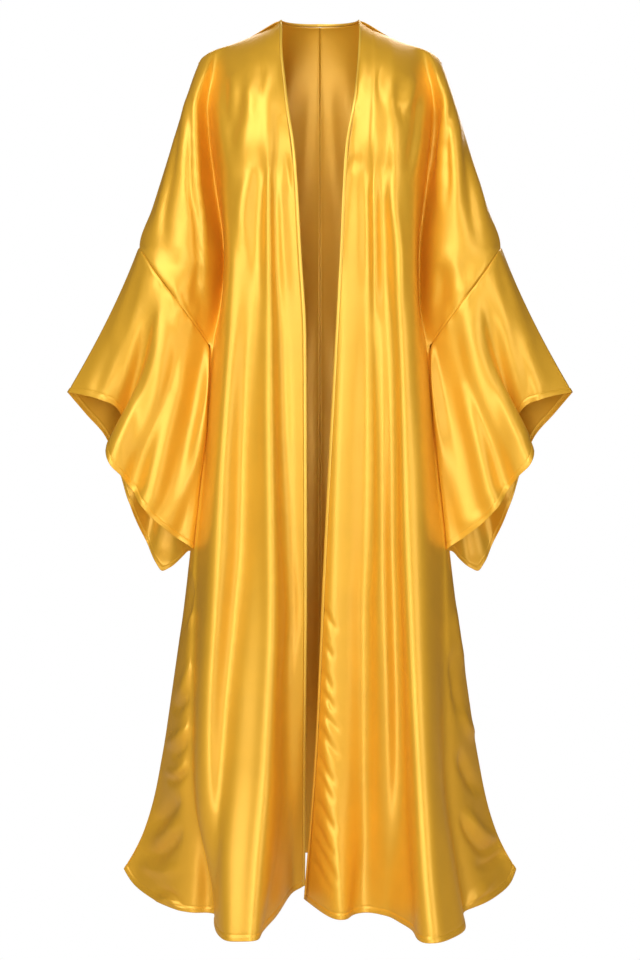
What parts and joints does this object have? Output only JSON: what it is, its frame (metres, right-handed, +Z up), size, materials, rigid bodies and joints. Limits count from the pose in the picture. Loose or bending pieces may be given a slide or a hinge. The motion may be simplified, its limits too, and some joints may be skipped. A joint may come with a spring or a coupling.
{
  "type": "kimono",
  "caption": "Open floor-length satin kimono robe with wide hanging sleeves and narrow edge bands, in its hollow worn shape.",
  "frame": {"origin": "midway between the two neck points, where the wearer's shoulders carry the robe", "axes": "+Z up, -Y out of the open front, +X to the right of someone facing the front"},
  "size_m": [0.808, 0.508, 1.4055],
  "materials": {
    "satin": "smooth golden satin with broad soft highlights",
    "edge_satin": "the same golden satin, folded and pressed"
  },
  "bodies": {
    "root": {"front_left": "satin", "front_right": "satin", "back_left": "satin", "back_right": "satin", "sleeve_left": "satin", "sleeve_right": "satin", "front_band_left": "edge_satin", "front_band_right": "edge_satin", "neck_band": "edge_satin"}
  },
  "joints": []
}
